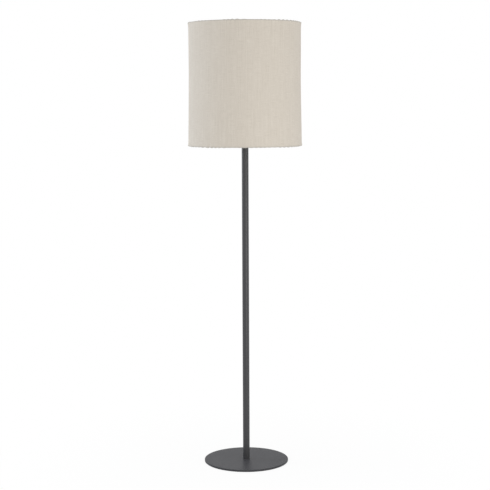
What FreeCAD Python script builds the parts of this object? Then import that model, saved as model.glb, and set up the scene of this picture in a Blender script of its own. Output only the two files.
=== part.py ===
"""Column floor lamp: round steel base, one straight pole, screw-thread lamp holder, drum shade.

Millimetres, +Z up.  The origin is the middle of the base, on the floor.
"""
import FreeCAD, Part

import math
import os

# ---------------------------------------------------------------- driving dimensions
# overall
TOTAL_HEIGHT = 1560.0
SHADE_HEIGHT = 427.0

# fits between pieces
PRESS_GAP = 0.05          # pushed or screwed together, radial
RUNNING_GAP = 0.06        # a shaft that turns in its bush, radial
THREAD_GAP = 0.3          # round a coarse screw thread
LOOSE_GAP = 0.3           # between pieces that only lie beside each other
SHEET_GAP = 0.3           # the glue line under the fabric

# screw threads: half the ridge's width, as a share of the pitch
THREAD_ROOT_SHARE = 0.3
THREAD_CREST_SHARE = 0.1

# base
BASE_RADIUS = 150.0
BASE_THICKNESS = 6.0
BASE_EDGE_ROUND = 1.0
PAD_THICKNESS = 1.5
PAD_MARGIN = 2.0
BASE_SCREW_RADIUS = 5.0
BASE_SCREW_REACH = 18.0
BASE_SCREW_HEAD_RADIUS = 9.6
BASE_SCREW_HEAD_SINK = 0.4
BASE_SCREW_SOCKET_RADIUS = 3.4
BASE_SCREW_SOCKET_DEPTH = 3.0

# pole
POLE_RADIUS = 12.0
POLE_WALL = 1.2
FOOT_PLUG_LENGTH = 25.0
LOWER_TUBE_LENGTH = 573.0
INSERT_LENGTH = 20.0
STUD_RADIUS = 6.0
STUD_LENGTH = 34.0
WIRE_WAY_RADIUS = 3.6
TOP_PLUG_LENGTH = 22.0
TOP_PLUG_FLANGE = 2.0
HOLDER_ABOVE_SHADE_BOTTOM = 23.0

# supply lead inside the pole
LEAD_RADIUS = 2.8
LEAD_BEND_RADIUS = 8.0
LEAD_INLET_HEIGHT = 45.0
GROMMET_NECK_RADIUS = 4.0
GROMMET_FLANGE_RADIUS = 5.6
GROMMET_STAND_OUT = 1.4
GROMMET_INSIDE = 2.0
WIRE_RADIUS = 0.9
WIRE_BEND_RADIUS = 3.0
WIRE_SPACING = 1.4

# lamp holder
NIPPLE_RADIUS = 5.0
NIPPLE_DEPTH = 18.0
CAP_NECK_RADIUS = 12.5
CAP_RADIUS = 20.5
CAP_SLOPE_HEIGHT = 8.0
CAP_HEIGHT = 26.0
CAP_WALL = 2.2
CAP_FLOOR = 4.0
CAP_LEDGE = 1.5
LOCK_WASHER_RADIUS = 8.5
LOCK_WASHER_THICKNESS = 0.8
NUT_RADIUS = 8.2
NUT_HEIGHT = 4.0
GRUB_RADIUS = 1.3
INSERT_DISC_THICKNESS = 10.0
SKIRT_SHOULDER_RADIUS = 23.5
SKIRT_SHOULDER_HEIGHT = 4.0
SKIRT_OVERLAP = 3.0
BARREL_CORE_RADIUS = 18.9
BARREL_THREAD_DEPTH = 0.85
BARREL_THREAD_PITCH = 3.0
BARREL_HEIGHT = 30.0
BARREL_THREAD_START = 3.0
BARREL_THREAD_END = 1.0
SCREW_SHELL_WALL = 1.35
SCREW_SHELL_HEIGHT = 23.0
CENTRE_CONTACT_RADIUS = 4.0
CENTRE_CONTACT_HEIGHT = 2.5
CONTACT_GAP = 0.1
TERMINAL_WIDTH = 6.0
TERMINAL_DEPTH = 6.0
TERMINAL_HEIGHT = 6.0
TERMINAL_OFFSET = 6.5
TERMINAL_SCREW_RADIUS = 1.6
TERMINAL_SCREW_HEAD_RADIUS = 2.2
TERMINAL_SCREW_HEAD = 1.4
TERMINAL_SCREW_DEPTH = 3.0

# rotary switch in the side of the holder's cap
SWITCH_HEIGHT = 13.0
SWITCH_SHAFT_RADIUS = 2.5
SWITCH_SHAFT_START = 6.5
SWITCH_BUSH_RADIUS = 4.0
SWITCH_BUSH_STAND_OUT = 3.0
SWITCH_ROTOR_RADIUS = 5.4
SWITCH_ROTOR_FLAT = 4.3
SWITCH_ROTOR_START = 9.5
SWITCH_ROTOR_LENGTH = 5.0
KNOB_RADIUS = 6.0
KNOB_LENGTH = 12.0
KNOB_GROOVES = 12
KNOB_GROOVE_RADIUS = 0.8
KNOB_SKIN = 2.5

# shade
SHADE_RADIUS = 200.0      # at the bottom rim
SHADE_TAPER = 3.2         # how much less the radius is at the top rim
SHADE_DRAW_IN = 1.7       # how far the side curves in at mid height
FABRIC_THICKNESS = 0.7
LINER_THICKNESS = 0.4
RING_WIRE_RADIUS = 1.6
ROLL_SWEEP = 290.0
ARM_COUNT = 3
ARM_WIRE_RADIUS = 2.0
ARM_BEND_RADIUS = 16.0
ARM_DROP_REACH = 40.0
ARM_UNDER_PLATE = 6.0
FITTER_OUTER_RADIUS = 34.0
FITTER_THICKNESS = 1.5
COLLAR_WASHER_THICKNESS = 1.0
COLLAR_RADIUS = 27.0
COLLAR_HEIGHT = 9.0
COLLAR_GRIPS = 16
COLLAR_GRIP_RADIUS = 1.6

# bulb, measured up from its tip
BULB_THREAD_CORE_RADIUS = 12.05
BULB_THREAD_DEPTH = 1.0
BULB_THREAD_PITCH = 3.629
BULB_THREAD_BOTTOM = 6.5
BULB_THREAD_TOP = 19.5
BULB_CAP_BOTTOM = 5.0
BULB_CAP_TOP = 22.5
BULB_CAP_WALL = 0.5
BULB_TIP_RADIUS = 4.75
BULB_TIP_HEIGHT = 1.6
BULB_TIP_MARGIN = 1.0
BULB_NECK_RADIUS = 13.3
BULB_NECK_TOP_RADIUS = 14.2
BULB_NECK_HEIGHT = 28.5
BULB_HOUSING_TOP = 60.0
BULB_RADIUS = 30.0
BULB_LENGTH = 108.0
BULB_HOUSING_WALL = 1.6
BULB_GLOBE_WALL = 1.2
LED_BOARD_THICKNESS = 1.6
LED_CHIP_COUNT = 12
LED_CHIP_SIZE = 3.2
LED_CHIP_HEIGHT = 0.8
DRIVER_BOARD_WIDTH = 18.0
DRIVER_BOARD_HEIGHT = 26.0
DRIVER_BOARD_THICKNESS = 1.2
DRIVER_CAPACITOR_RADIUS = 3.5
DRIVER_CAPACITOR_LENGTH = 11.0
DRIVER_COIL_SIZE = 8.0
DRIVER_COIL_DEPTH = 6.0
DRIVER_PARTS_DROP = 2.0
LED_CIRCLE_RADIUS = 18.0

# ---------------------------------------------------------------- heights and radii that follow
SHADE_BOTTOM = TOTAL_HEIGHT - SHADE_HEIGHT
FABRIC_ROLL_INNER = RING_WIRE_RADIUS + SHEET_GAP
FABRIC_ROLL_OUTER = FABRIC_ROLL_INNER + FABRIC_THICKNESS
SHADE_TOP_RADIUS = SHADE_RADIUS - SHADE_TAPER
TOP_RING_RADIUS = SHADE_TOP_RADIUS - FABRIC_ROLL_OUTER
TOP_RING_HEIGHT = TOTAL_HEIGHT - FABRIC_ROLL_OUTER
BOTTOM_RING_RADIUS = SHADE_RADIUS - FABRIC_ROLL_OUTER
BOTTOM_RING_HEIGHT = SHADE_BOTTOM + FABRIC_ROLL_OUTER

PLATE_TOP = PAD_THICKNESS + BASE_THICKNESS
POLE_TOP = SHADE_BOTTOM + HOLDER_ABOVE_SHADE_BOTTOM
TUBE_END = POLE_TOP - TOP_PLUG_FLANGE
POLE_JOINT = PLATE_TOP + LOWER_TUBE_LENGTH
POLE_BORE = POLE_RADIUS - POLE_WALL
PLUG_RADIUS = POLE_BORE - PRESS_GAP

CAP_BORE = CAP_RADIUS - CAP_WALL
LEDGE_BORE = CAP_BORE - CAP_LEDGE
CAP_TOP = POLE_TOP + CAP_HEIGHT
INSERT_TOP = CAP_TOP + SKIRT_OVERLAP
INSERT_BOTTOM = INSERT_TOP - INSERT_DISC_THICKNESS
SHOULDER_TOP = CAP_TOP + SKIRT_SHOULDER_HEIGHT
BARREL_TOP = SHOULDER_TOP + BARREL_HEIGHT
BARREL_CREST_RADIUS = BARREL_CORE_RADIUS + BARREL_THREAD_DEPTH
SWITCH_AXIS = POLE_TOP + SWITCH_HEIGHT
FITTER_BORE = BARREL_CREST_RADIUS + LOOSE_GAP
FITTER_TOP = SHOULDER_TOP + FITTER_THICKNESS
COLLAR_BOTTOM = FITTER_TOP + COLLAR_WASHER_THICKNESS
BULB_TIP = INSERT_TOP + CENTRE_CONTACT_HEIGHT + CONTACT_GAP
BULB_THREAD_CREST = BULB_THREAD_CORE_RADIUS + BULB_THREAD_DEPTH
SHELL_OUTER_RADIUS = BULB_THREAD_CREST + THREAD_GAP + SCREW_SHELL_WALL
SKIRT_BORE = SHELL_OUTER_RADIUS + LOOSE_GAP

UP = FreeCAD.Vector(0, 0, 1)
ALONG_X = FreeCAD.Vector(1, 0, 0)
ALONG_Y = FreeCAD.Vector(0, 1, 0)


# ---------------------------------------------------------------- shape helpers
def at(x, y, z):
    """A point."""
    return FreeCAD.Vector(x, y, z)


def cylinder(radius, bottom, top):
    """A solid cylinder about the lamp's axis, from one height to another."""
    return Part.makeCylinder(radius, top - bottom, at(0, 0, bottom), UP)


def tube(outer, inner, bottom, top):
    """A tube about the lamp's axis."""
    return cylinder(outer, bottom, top).cut(cylinder(inner, bottom, top))


def across(radius, start, end, height):
    """A cylinder along X at a height, from one x to another."""
    return Part.makeCylinder(radius, end - start, at(start, 0, height), ALONG_X)


def fore_aft(radius, start, end, height):
    """A cylinder along Y at a height, from one y to another."""
    return Part.makeCylinder(radius, end - start, at(0, start, height), ALONG_Y)


def turned(profile):
    """A solid of revolution about the lamp's axis, from (radius, height) corners."""
    corners = [at(radius, 0, height) for radius, height in profile]
    return turned_wire(Part.makePolygon(corners + corners[:1]))


def turned_wire(wire):
    """A solid of revolution about the lamp's axis, from a closed wire in the XZ plane."""
    return Part.Face(wire).revolve(at(0, 0, 0), UP, 360)


def line(start, end):
    """A straight edge."""
    return Part.LineSegment(start, end).toShape()


def arc(start, middle, end):
    """A round edge through three points."""
    return Part.Arc(start, middle, end).toShape()


def wire_rod(radius, edges, direction):
    """A round rod along joined edges that set off in the given direction."""
    start = edges[0].Vertexes[0].Point
    section = Part.Wire(Part.makeCircle(radius, start, direction))
    return Part.Wire(edges).makePipeShell([section], True, False)


def screw_form(core, depth, pitch, bottom, top, phase, gap=0.0):
    """A threaded rod: a core with one helical ridge.  A gap makes the larger form that cuts a nut.

    The ridge starts on the +X side at the height called phase, plus whole turns, so two forms
    with the same phase and pitch mesh.
    """
    turns_below = math.ceil((phase - bottom) / pitch)
    start = phase - turns_below * pitch
    helix = Part.makeHelix(pitch, top - start, core)
    helix.translate(at(0, 0, start))
    root = core - depth / 2
    crest = core + gap + depth
    root_half = pitch * THREAD_ROOT_SHARE + gap
    crest_half = pitch * THREAD_CREST_SHARE + gap
    corners = [
        at(root, 0, start - root_half),
        at(crest, 0, start - crest_half),
        at(crest, 0, start + crest_half),
        at(root, 0, start + root_half),
    ]
    section = Part.makePolygon(corners + corners[:1])
    ridge = Part.Wire(helix).makePipeShell([section], True, True)
    return cylinder(core + gap, bottom, top).fuse(ridge)


def one_solid(shape):
    """The single solid inside a shape that a boolean has wrapped in a compound."""
    return shape.Solids[0]


def save(shape, node):
    """Write one node, and say what is in it."""
    print(f"{node:18s} solids {len(shape.Solids):2d}  volume {shape.Volume:12.2f}  valid {shape.isValid()}")
    shape.exportStep(f"parts/{node}.step")


# ---------------------------------------------------------------- base
def base_plate():
    """Round steel plate with a rounded top edge and a countersunk hole for the screw."""
    plate = cylinder(BASE_RADIUS, PAD_THICKNESS, PLATE_TOP)
    rim = [edge for edge in plate.Edges if edge.Closed and edge.BoundBox.ZMin > PLATE_TOP - LOOSE_GAP]
    plate = plate.makeFillet(BASE_EDGE_ROUND, rim)
    hole = cylinder(BASE_SCREW_RADIUS + PRESS_GAP, PAD_THICKNESS, PLATE_TOP)
    return plate.cut(hole).cut(screw_head(PRESS_GAP, PAD_THICKNESS))


def screw_head(gap, bottom):
    """The countersunk head of the base screw, larger all round by a gap."""
    widest = BASE_SCREW_HEAD_RADIUS + gap
    neck = BASE_SCREW_RADIUS + gap
    face = PAD_THICKNESS + BASE_SCREW_HEAD_SINK
    return turned([
        (0, bottom),
        (widest, bottom),
        (widest, face),
        (neck, face + widest - neck),
        (0, face + widest - neck),
    ])


def base_screw():
    """Countersunk screw that goes up through the plate into the foot of the pole."""
    face = PAD_THICKNESS + BASE_SCREW_HEAD_SINK
    shank = cylinder(BASE_SCREW_RADIUS, face, PLATE_TOP + BASE_SCREW_REACH)
    head = screw_head(0.0, face)
    key = hexagon(BASE_SCREW_SOCKET_RADIUS, face, BASE_SCREW_SOCKET_DEPTH)
    return shank.fuse(head).removeSplitter().cut(key)


def hexagon(radius, bottom, height):
    """An upright hexagonal prism, sized over its corners."""
    corners = [
        at(radius * math.cos(math.radians(60 * i)), radius * math.sin(math.radians(60 * i)), bottom)
        for i in range(6)
    ]
    return Part.Face(Part.makePolygon(corners + corners[:1])).extrude(UP * height)


def floor_pad():
    """Soft disc under the plate."""
    return cylinder(BASE_RADIUS - PAD_MARGIN, 0, PAD_THICKNESS)


# ---------------------------------------------------------------- pole
def foot_plug():
    """Plug in the foot of the pole that takes the base screw."""
    plug = cylinder(PLUG_RADIUS, PLATE_TOP, PLATE_TOP + FOOT_PLUG_LENGTH)
    return plug.cut(cylinder(BASE_SCREW_RADIUS + PRESS_GAP, PLATE_TOP, PLATE_TOP + BASE_SCREW_REACH))


def lower_tube():
    """Lower half of the pole, with the lead's hole at the back."""
    pipe = tube(POLE_RADIUS, POLE_BORE, PLATE_TOP, POLE_JOINT)
    return pipe.cut(fore_aft(GROMMET_NECK_RADIUS, POLE_RADIUS / 2, 2 * POLE_RADIUS, LEAD_INLET_HEIGHT))


def upper_tube():
    """Upper half of the pole."""
    return tube(POLE_RADIUS, POLE_BORE, POLE_JOINT, TUBE_END)


def pole_insert(bottom):
    """Threaded sleeve pushed into the end of a tube, level with that end."""
    return tube(PLUG_RADIUS, STUD_RADIUS + PRESS_GAP, bottom, bottom + INSERT_LENGTH)


def joint_stud():
    """Hollow stud that screws the two tubes together."""
    return tube(STUD_RADIUS, WIRE_WAY_RADIUS, POLE_JOINT - STUD_LENGTH / 2, POLE_JOINT + STUD_LENGTH / 2)


def top_plug():
    """Plug in the top of the pole, with a flange as wide as the pole."""
    flange = cylinder(POLE_RADIUS, TUBE_END, POLE_TOP)
    plug = cylinder(PLUG_RADIUS, TUBE_END - TOP_PLUG_LENGTH, TUBE_END)
    bore = cylinder(NIPPLE_RADIUS + PRESS_GAP, TUBE_END - TOP_PLUG_LENGTH, POLE_TOP)
    return plug.fuse(flange).cut(bore)


# ---------------------------------------------------------------- supply lead
def cord_grommet():
    """Rubber grommet in the lead's hole: it grips the curved wall on both sides."""
    inner_face = POLE_BORE - GROMMET_INSIDE
    outer_face = POLE_RADIUS + GROMMET_STAND_OUT
    blank = fore_aft(GROMMET_FLANGE_RADIUS, inner_face, outer_face, LEAD_INLET_HEIGHT)
    wall = tube(POLE_RADIUS, POLE_BORE, PLATE_TOP, POLE_JOINT)
    neck = fore_aft(GROMMET_NECK_RADIUS - PRESS_GAP, inner_face, outer_face, LEAD_INLET_HEIGHT)
    bore = fore_aft(LEAD_RADIUS + PRESS_GAP, inner_face, outer_face, LEAD_INLET_HEIGHT)
    return blank.cut(wall).fuse(neck).removeSplitter().cut(bore)


def lead_split():
    """Height at which the lead's sheath ends and its two wires part."""
    return POLE_TOP + CAP_FLOOR + LOCK_WASHER_THICKNESS + NUT_HEIGHT + PRESS_GAP + 2 * WIRE_RADIUS


def inner_lead():
    """Sheathed lead from the grommet up the pole and through the nipple."""
    bend = LEAD_BEND_RADIUS
    inlet = LEAD_INLET_HEIGHT
    half = bend * math.sqrt(0.5)
    edges = [
        line(at(0, POLE_RADIUS, inlet), at(0, bend, inlet)),
        arc(at(0, bend, inlet), at(0, bend - half, inlet + bend - half), at(0, 0, inlet + bend)),
        line(at(0, 0, inlet + bend), at(0, 0, lead_split())),
    ]
    return wire_rod(LEAD_RADIUS, edges, ALONG_Y)


def terminal_middle():
    """Height of the wire clamps."""
    return INSERT_BOTTOM - TERMINAL_HEIGHT / 2


def holder_wire(side):
    """One insulated wire from the lead to its terminal, on the +Y or the -Y side."""
    bend = min(WIRE_BEND_RADIUS, terminal_middle() - lead_split())
    half = bend * math.sqrt(0.5)
    level = terminal_middle()
    out = WIRE_SPACING
    edges = [
        arc(at(0, side * out, level - bend),
            at(0, side * (out + bend - half), level - bend + half),
            at(0, side * (out + bend), level)),
        line(at(0, side * (out + bend), level), at(0, side * TERMINAL_OFFSET, level)),
    ]
    if level - bend - lead_split() > WIRE_RADIUS / 2:
        edges.insert(0, line(at(0, side * out, lead_split()), at(0, side * out, level - bend)))
    return wire_rod(WIRE_RADIUS, edges, UP)


# ---------------------------------------------------------------- lamp holder
def holder_nipple():
    """Hollow threaded nipple that carries the holder."""
    top = POLE_TOP + CAP_FLOOR + LOCK_WASHER_THICKNESS + NUT_HEIGHT
    return tube(NIPPLE_RADIUS, WIRE_WAY_RADIUS, POLE_TOP - NIPPLE_DEPTH, top)


def lock_washer():
    """Washer under the nipple's nut."""
    bottom = POLE_TOP + CAP_FLOOR
    return tube(LOCK_WASHER_RADIUS, NIPPLE_RADIUS + PRESS_GAP, bottom, bottom + LOCK_WASHER_THICKNESS)


def nipple_nut():
    """Hexagonal nut on the nipple."""
    bottom = POLE_TOP + CAP_FLOOR + LOCK_WASHER_THICKNESS
    bore = cylinder(NIPPLE_RADIUS + PRESS_GAP, bottom, bottom + NUT_HEIGHT)
    return hexagon(NUT_RADIUS, bottom, NUT_HEIGHT).cut(bore)


def holder_cap():
    """Lower shell of the holder, with the switch's hole and the grub screw's hole."""
    floor = POLE_TOP + CAP_FLOOR
    slope = POLE_TOP + CAP_SLOPE_HEIGHT
    bore = NIPPLE_RADIUS + PRESS_GAP
    shell = turned([
        (bore, POLE_TOP),
        (CAP_NECK_RADIUS, POLE_TOP),
        (CAP_RADIUS, slope),
        (CAP_RADIUS, CAP_TOP),
        (CAP_BORE, CAP_TOP),
        (CAP_BORE, INSERT_BOTTOM),
        (LEDGE_BORE, INSERT_BOTTOM),
        (LEDGE_BORE, slope + CAP_WALL / 2),
        (CAP_NECK_RADIUS - CAP_WALL / 2, floor),
        (bore, floor),
    ])
    switch_hole = across(SWITCH_BUSH_RADIUS + PRESS_GAP, CAP_NECK_RADIUS, 2 * CAP_RADIUS, SWITCH_AXIS)
    grub_hole = across(GRUB_RADIUS + PRESS_GAP, -CAP_RADIUS, -NIPPLE_RADIUS, POLE_TOP + CAP_FLOOR / 2)
    return one_solid(shell.cut(switch_hole).cut(grub_hole))


def grub_screw():
    """Small screw that stops the cap from turning on the nipple."""
    return across(GRUB_RADIUS, -CAP_NECK_RADIUS, -NIPPLE_RADIUS - PRESS_GAP, POLE_TOP + CAP_FLOOR / 2)


def insert_disc():
    """Insulating disc, on the cap's ledge, that carries the contacts and the terminals."""
    return cylinder(CAP_BORE - LOOSE_GAP, INSERT_BOTTOM, INSERT_TOP)


def terminals():
    """Two brass wire clamps under the insulating disc."""
    blocks = []
    for side in (1, -1):
        low_y = TERMINAL_OFFSET if side > 0 else -TERMINAL_OFFSET - TERMINAL_DEPTH
        corner = at(-TERMINAL_WIDTH / 2, low_y, INSERT_BOTTOM - TERMINAL_HEIGHT)
        block = Part.makeBox(TERMINAL_WIDTH, TERMINAL_DEPTH, TERMINAL_HEIGHT, corner)
        blocks.append(block.cut(terminal_screw(side, PRESS_GAP)))
    return Part.makeCompound(blocks)


def terminal_screw(side, gap=0.0):
    """One terminal screw, radial, on the +Y or the -Y side, larger all round by a gap."""
    face = side * (TERMINAL_OFFSET + TERMINAL_DEPTH)
    way = ALONG_Y * side
    depth = TERMINAL_SCREW_DEPTH + gap
    seat = at(0, face, terminal_middle())
    shank = Part.makeCylinder(TERMINAL_SCREW_RADIUS + gap, depth, seat.sub(way * depth), way)
    head = Part.makeCylinder(TERMINAL_SCREW_HEAD_RADIUS, TERMINAL_SCREW_HEAD, seat, way)
    return shank.fuse(head)


def terminal_screws():
    """The two terminal screws."""
    return Part.makeCompound([terminal_screw(side) for side in (1, -1)])


def centre_contact():
    """Sprung centre contact, drawn as its pressed-down button."""
    stem = cylinder(CENTRE_CONTACT_RADIUS, INSERT_TOP, INSERT_TOP + CENTRE_CONTACT_HEIGHT)
    top = [edge for edge in stem.Edges if edge.Closed and edge.BoundBox.ZMin > INSERT_TOP + LOOSE_GAP]
    return stem.makeFillet(min(CENTRE_CONTACT_HEIGHT, CENTRE_CONTACT_RADIUS) / 3, top)


def screw_shell():
    """Brass shell whose thread takes the bulb."""
    top = INSERT_TOP + SCREW_SHELL_HEIGHT
    blank = cylinder(SHELL_OUTER_RADIUS, INSERT_TOP, top)
    margin = BULB_THREAD_PITCH
    thread = screw_form(BULB_THREAD_CORE_RADIUS, BULB_THREAD_DEPTH, BULB_THREAD_PITCH,
                        INSERT_TOP - margin, top + margin, BULB_TIP + BULB_THREAD_BOTTOM, THREAD_GAP)
    return one_solid(blank.cut(thread))


def barrel_thread(bottom, top, gap):
    """The coarse thread round the holder's barrel, or the larger form that cuts the collar."""
    phase = SHOULDER_TOP + BARREL_THREAD_START
    return screw_form(BARREL_CORE_RADIUS, BARREL_THREAD_DEPTH, BARREL_THREAD_PITCH, bottom, top, phase, gap)


def holder_skirt():
    """Upper shell of the holder: a shoulder for the shade and a threaded barrel."""
    shoulder = cylinder(SKIRT_SHOULDER_RADIUS, CAP_TOP, SHOULDER_TOP)
    first = SHOULDER_TOP + BARREL_THREAD_START
    last = BARREL_TOP - BARREL_THREAD_END
    barrel = cylinder(BARREL_CORE_RADIUS, CAP_TOP, BARREL_TOP)
    slab = cylinder(2 * BARREL_CREST_RADIUS, first, last)
    ridge = barrel_thread(first - BARREL_THREAD_PITCH, last + BARREL_THREAD_PITCH, 0.0).common(slab)
    body = barrel.fuse(shoulder).fuse(ridge)
    seat = cylinder(CAP_BORE, CAP_TOP, INSERT_TOP + LOOSE_GAP)
    bore = cylinder(SKIRT_BORE, CAP_TOP, BARREL_TOP)
    return one_solid(body.cut(seat).cut(bore))


# ---------------------------------------------------------------- rotary switch
def switch_bush():
    """Bush through the cap's wall that the switch's shaft turns in."""
    start = LEDGE_BORE - LOOSE_GAP
    end = CAP_RADIUS + SWITCH_BUSH_STAND_OUT
    bore = across(SWITCH_SHAFT_RADIUS + RUNNING_GAP, start, end, SWITCH_AXIS)
    return across(SWITCH_BUSH_RADIUS, start, end, SWITCH_AXIS).cut(bore)


def switch_shaft():
    """Shaft from the rotor to the knob."""
    return across(SWITCH_SHAFT_RADIUS, SWITCH_SHAFT_START, knob_face(), SWITCH_AXIS)


def knob_start():
    """Where the knob begins, just clear of the bush."""
    return CAP_RADIUS + SWITCH_BUSH_STAND_OUT + LOOSE_GAP


def knob_face():
    """Where the shaft ends inside the knob."""
    return knob_start() + KNOB_LENGTH - KNOB_SKIN


def switch_rotor():
    """Cam wheel on the inner end of the shaft, with one flat."""
    end = SWITCH_ROTOR_START + SWITCH_ROTOR_LENGTH
    wheel = across(SWITCH_ROTOR_RADIUS, SWITCH_ROTOR_START, end, SWITCH_AXIS)
    flat = Part.makeBox(
        SWITCH_ROTOR_LENGTH, 2 * SWITCH_ROTOR_RADIUS, SWITCH_ROTOR_RADIUS,
        at(SWITCH_ROTOR_START, -SWITCH_ROTOR_RADIUS, SWITCH_AXIS + SWITCH_ROTOR_FLAT))
    bore = across(SWITCH_SHAFT_RADIUS + PRESS_GAP, SWITCH_ROTOR_START, end, SWITCH_AXIS)
    return wheel.cut(flat).cut(bore)


def switch_knob():
    """Fluted knob on the outer end of the shaft."""
    start = knob_start()
    end = start + KNOB_LENGTH
    knob = across(KNOB_RADIUS, start, end, SWITCH_AXIS)
    outer = [edge for edge in knob.Edges if edge.Closed and edge.BoundBox.XMin > end - LOOSE_GAP]
    knob = knob.makeChamfer(KNOB_GROOVE_RADIUS, outer)
    for i in range(KNOB_GROOVES):
        angle = 2 * math.pi * i / KNOB_GROOVES
        groove = Part.makeCylinder(
            KNOB_GROOVE_RADIUS, KNOB_LENGTH,
            at(start, KNOB_RADIUS * math.cos(angle), SWITCH_AXIS + KNOB_RADIUS * math.sin(angle)), ALONG_X)
        knob = knob.cut(groove)
    return knob.cut(across(SWITCH_SHAFT_RADIUS + PRESS_GAP, start, knob_face(), SWITCH_AXIS))


# ---------------------------------------------------------------- shade
def wall_circle():
    """Centre radius, centre height and radius of the arc that the shade's side follows."""
    low = at(SHADE_RADIUS, 0, BOTTOM_RING_HEIGHT)
    high = at(SHADE_TOP_RADIUS, 0, TOP_RING_HEIGHT)
    middle = (low + high) / 2 - ALONG_X * SHADE_DRAW_IN
    circle = arc(low, middle, high).Curve
    return circle.Center.x, circle.Center.z, circle.Radius


def wall_point(height, inset):
    """A point of the shade's side, at a height, a distance inside its outer face."""
    centre_x, centre_z, radius = wall_circle()
    reach = math.sqrt((radius + inset) ** 2 - (height - centre_z) ** 2)
    return at(centre_x - reach, 0, height)


def wall_edge(low, high, inset):
    """The side's curve between two heights."""
    return arc(wall_point(low, inset), wall_point((low + high) / 2, inset), wall_point(high, inset))


def roll_point(ring_radius, ring_height, radius, angle, way):
    """A point of the fabric roll about a ring; way is 1 over the top ring, -1 under the bottom one."""
    turn = math.radians(angle)
    return at(ring_radius + radius * math.cos(turn), 0, ring_height + way * radius * math.sin(turn))


def roll_edge(ring_radius, ring_height, radius, way, start, end):
    """The roll's arc about a ring, from one wall point's side to the tucked end."""
    middle = roll_point(ring_radius, ring_height, radius, ROLL_SWEEP / 2, way)
    return arc(start, middle, end)


def shade_cover():
    """Fabric wall with both edges rolled round the rings, notched where the arms pass."""
    low = BOTTOM_RING_HEIGHT
    high = TOP_RING_HEIGHT
    outer_low = wall_point(low, 0)
    outer_high = wall_point(high, 0)
    inner_low = wall_point(low, FABRIC_THICKNESS)
    inner_high = wall_point(high, FABRIC_THICKNESS)
    tuck_high = roll_point(TOP_RING_RADIUS, high, FABRIC_ROLL_OUTER, ROLL_SWEEP, 1)
    tuck_high_in = roll_point(TOP_RING_RADIUS, high, FABRIC_ROLL_INNER, ROLL_SWEEP, 1)
    tuck_low = roll_point(BOTTOM_RING_RADIUS, low, FABRIC_ROLL_OUTER, ROLL_SWEEP, -1)
    tuck_low_in = roll_point(BOTTOM_RING_RADIUS, low, FABRIC_ROLL_INNER, ROLL_SWEEP, -1)
    outline = Part.Wire([
        wall_edge(low, high, 0),
        roll_edge(TOP_RING_RADIUS, high, FABRIC_ROLL_OUTER, 1, outer_high, tuck_high),
        line(tuck_high, tuck_high_in),
        roll_edge(TOP_RING_RADIUS, high, FABRIC_ROLL_INNER, 1, tuck_high_in, inner_high),
        wall_edge(high, low, FABRIC_THICKNESS),
        roll_edge(BOTTOM_RING_RADIUS, low, FABRIC_ROLL_INNER, -1, inner_low, tuck_low_in),
        line(tuck_low_in, tuck_low),
        roll_edge(BOTTOM_RING_RADIUS, low, FABRIC_ROLL_OUTER, -1, tuck_low, outer_low),
    ])
    cover = turned_wire(outline)
    for i in range(ARM_COUNT):
        cover = cover.cut(arm_notch(i))
    return one_solid(cover)


def shade_liner():
    """Stiff translucent sheet behind the fabric."""
    inset = FABRIC_THICKNESS + SHEET_GAP
    margin = RING_WIRE_RADIUS - LINER_THICKNESS / 2
    low = BOTTOM_RING_HEIGHT + margin
    high = TOP_RING_HEIGHT - margin
    back = inset + LINER_THICKNESS
    outline = Part.Wire([
        wall_edge(low, high, inset),
        line(wall_point(high, inset), wall_point(high, back)),
        wall_edge(high, low, back),
        line(wall_point(low, back), wall_point(low, inset)),
    ])
    return turned_wire(outline)


def ring(radius, height):
    """A round wire ring."""
    return Part.makeTorus(radius, RING_WIRE_RADIUS, at(0, 0, height), UP)


def arm_corners():
    """Start, bend and end of an arm's middle line: under the fitter plate, then down to the bottom ring."""
    level = SHOULDER_TOP - ARM_WIRE_RADIUS
    start = at(FITTER_OUTER_RADIUS - ARM_UNDER_PLATE, 0, level)
    corner = at(BOTTOM_RING_RADIUS - ARM_DROP_REACH, 0, level)
    end = at(BOTTOM_RING_RADIUS, 0, BOTTOM_RING_HEIGHT)
    return start, corner, end


def to_arm_place(shape, index):
    """Turn a shape from the XZ plane to one arm's place round the lamp."""
    shape.rotate(at(0, 0, 0), UP, 90 + 360 / ARM_COUNT * index)
    return shape


def arm_blank(index):
    """One arm's wire, as far as the middle of the bottom ring's wire."""
    start, corner, end = arm_corners()
    drop = end.sub(corner).normalize()
    turn = math.acos(drop.x)
    setback = ARM_BEND_RADIUS * math.tan(turn / 2)
    bend_in = corner.sub(ALONG_X * setback)
    bend_out = corner.add(drop * setback)
    centre = bend_in.sub(UP * ARM_BEND_RADIUS)
    half_turn = at(math.sin(turn / 2), 0, math.cos(turn / 2))
    edges = [
        line(start, bend_in),
        arc(bend_in, centre.add(half_turn * ARM_BEND_RADIUS), bend_out),
        line(bend_out, end),
    ]
    return to_arm_place(wire_rod(ARM_WIRE_RADIUS, edges, ALONG_X), index)


def arm_notch(index):
    """What is cut from the rolled fabric so that one arm reaches the ring."""
    start, corner, end = arm_corners()
    reach = end.sub(corner)
    rod = Part.makeCylinder(ARM_WIRE_RADIUS + LOOSE_GAP, reach.Length, corner, reach)
    return to_arm_place(rod, index)


def spider_arms():
    """The arms, each coped to the bottom ring that it is welded to."""
    bottom_ring = ring(BOTTOM_RING_RADIUS, BOTTOM_RING_HEIGHT)
    outside = tube(2 * SHADE_RADIUS, BOTTOM_RING_RADIUS, SHADE_BOTTOM - SHADE_HEIGHT, SHOULDER_TOP)
    arms = []
    for i in range(ARM_COUNT):
        trimmed = arm_blank(i).cut(outside).cut(bottom_ring)
        pieces = sorted(trimmed.Solids, key=lambda solid: solid.Volume)
        arms.append(pieces[-1])
    return Part.makeCompound(arms)


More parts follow.
